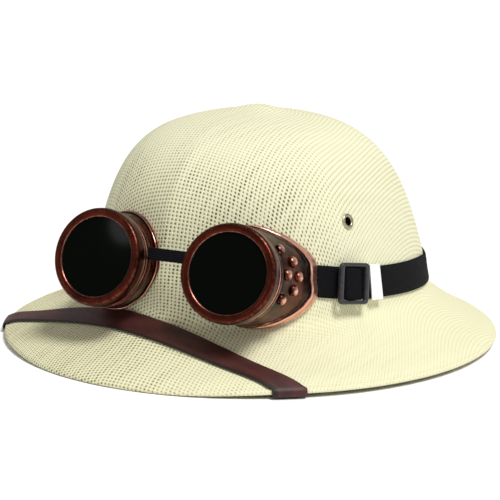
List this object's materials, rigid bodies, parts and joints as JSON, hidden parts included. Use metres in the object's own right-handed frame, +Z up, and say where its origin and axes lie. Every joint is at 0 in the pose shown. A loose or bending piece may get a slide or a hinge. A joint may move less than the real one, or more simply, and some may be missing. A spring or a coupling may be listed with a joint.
{
  "type": "pith helmet with goggles",
  "caption": "Cream woven pith helmet with a wide brim, dark copper round goggles strapped round its crown on black elastic, and a brown leather chin strap worn over the front brim",
  "frame": {"origin": "centre of the brim's outline in plan, on the plane the brim stands on", "axes": "+Z up through the crown, -Y out of the front of the helmet, +X to the wearer's left"},
  "size_m": [0.2866, 0.321, 0.138],
  "materials": {
    "woven_shell": "matt open weave of paper yarn, pale cream, stiffened",
    "antique_brass": "darkened brass with worn edges",
    "antique_copper": "antique copper finish on moulded cups, dark in the hollows and bright on the edges",
    "dark_lens": "glossy, very dark green tint, opaque from outside",
    "black_elastic": "ribbed woven elastic, matt",
    "dark_plastic": "dark grey, half gloss",
    "bright_metal": "bright plated sheet",
    "brown_leather": "dark reddish brown with black edges, soft sheen"
  },
  "bodies": {
    "root": {"helmet_shell": "woven_shell", "vent_eyelet_left": "antique_brass", "vent_eyelet_right": "antique_brass", "goggle_cup_left": "antique_copper", "goggle_cup_right": "antique_copper", "lens_ring_left": "antique_copper", "lens_ring_right": "antique_copper", "lens_left": "dark_lens", "lens_right": "dark_lens", "bridge_strap": "black_elastic", "head_strap": "black_elastic", "strap_tail": "black_elastic", "strap_buckle": "dark_plastic", "strap_clip": "bright_metal", "chin_strap": "brown_leather"}
  },
  "joints": []
}
